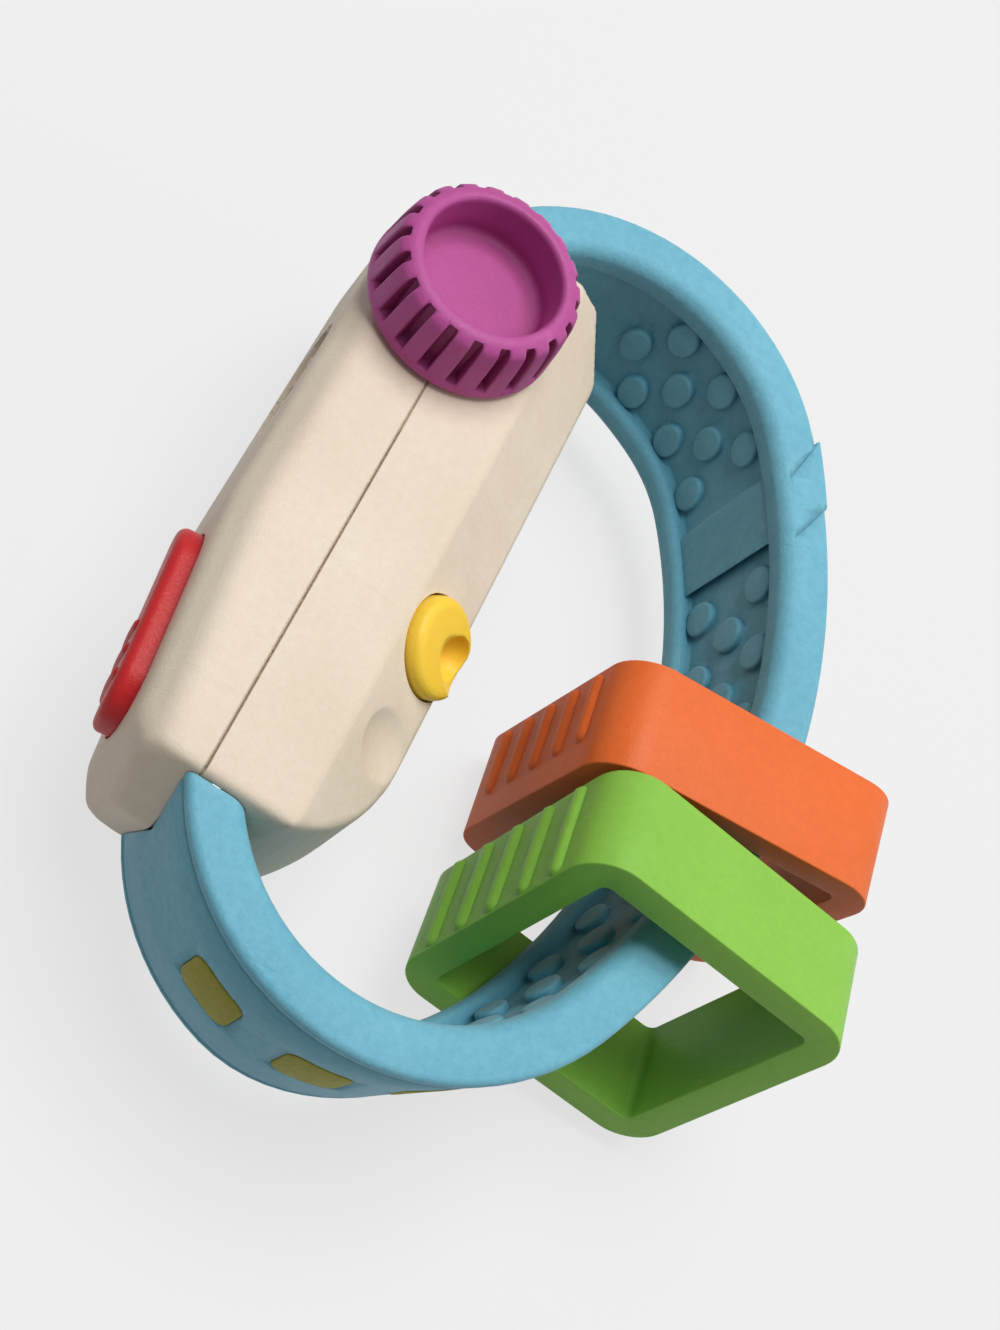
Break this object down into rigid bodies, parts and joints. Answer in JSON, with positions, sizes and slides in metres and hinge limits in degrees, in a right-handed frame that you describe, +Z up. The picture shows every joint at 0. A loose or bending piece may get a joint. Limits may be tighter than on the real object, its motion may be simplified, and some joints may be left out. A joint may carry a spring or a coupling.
{
  "type": "toy watch",
  "caption": "Toddler toy watch: hollow case with clicking crown and push buttons on a closed oval rubber strap with loose square rings.",
  "frame": {"origin": "middle of the side face that the watch lies on, at mid-length of the case and just behind the seam", "axes": "+Z up along the crown's axis, +Y along the case towards the crown end, -X out of the dial, +X towards the wrist and the strap loop"},
  "size_m": [0.0836, 0.1059, 0.0417],
  "materials": {
    "case_plastic": "cream moulded plastic, fine satin grain",
    "crown_plastic": "magenta moulded plastic",
    "red_plastic": "red moulded plastic",
    "yellow_plastic": "yellow moulded plastic",
    "strap_rubber": "soft light blue rubber, satin",
    "inlay_rubber": "olive yellow rubber",
    "orange_plastic": "orange moulded plastic",
    "green_plastic": "green moulded plastic",
    "dial_plastic": "white moulded plastic",
    "hand_plastic": "red moulded plastic",
    "white_nylon": "natural nylon",
    "screw_steel": "zinc plated steel",
    "spring_steel": "bright spring steel"
  },
  "bodies": {
    "watch": {"front_shell": "case_plastic", "back_shell": "case_plastic", "case_screws": "screw_steel", "dial": "dial_plastic", "dial_hands": "hand_plastic", "crown_bush": "white_nylon", "click_spring": "spring_steel", "strap": "strap_rubber", "strap_inlays": "inlay_rubber", "strap_pin_top": "screw_steel", "strap_pin_bottom": "screw_steel", "red_button_spring": "spring_steel", "yellow_button_spring": "spring_steel"},
    "crown": {"crown_knob": "crown_plastic", "crown_axle": "white_nylon", "click_wheel": "white_nylon", "crown_screw": "screw_steel"},
    "red_key": {"red_button": "red_plastic"},
    "yellow_key": {"yellow_button": "yellow_plastic"},
    "orange": {"orange_ring": "orange_plastic"},
    "green": {"green_ring": "green_plastic"}
  },
  "joints": [
    {"name": "crown_turn", "type": "hinge", "parent": "watch", "child": "crown", "pos_m": [-0.0014, 0.0243, 0], "axis": [0, 0, 1], "continuous": true},
    {"name": "red_press", "type": "slide", "parent": "watch", "child": "red_key", "axis": [0.9919, 0.1269, 0], "range_m": [0, 0.0018], "stiffness_N_per_m": 400, "springref_m": -0.001, "deforming": ["red_button_spring"]},
    {"name": "yellow_press", "type": "slide", "parent": "watch", "child": "yellow_key", "axis": [-0.6585, 0, -0.7526], "range_m": [0, 0.0015], "stiffness_N_per_m": 400, "springref_m": -0.001, "deforming": ["yellow_button_spring"]},
    {"name": "orange_slide", "type": "hinge", "parent": "watch", "child": "orange", "pos_m": [-0.02135, -0.00295, 0], "axis": [0, 0, 1], "range_deg": [0, 20]},
    {"name": "green_slide", "type": "hinge", "parent": "watch", "child": "green", "pos_m": [-0.02135, -0.00295, 0], "axis": [0, 0, 1], "range_deg": [-6, 0]}
  ]
}
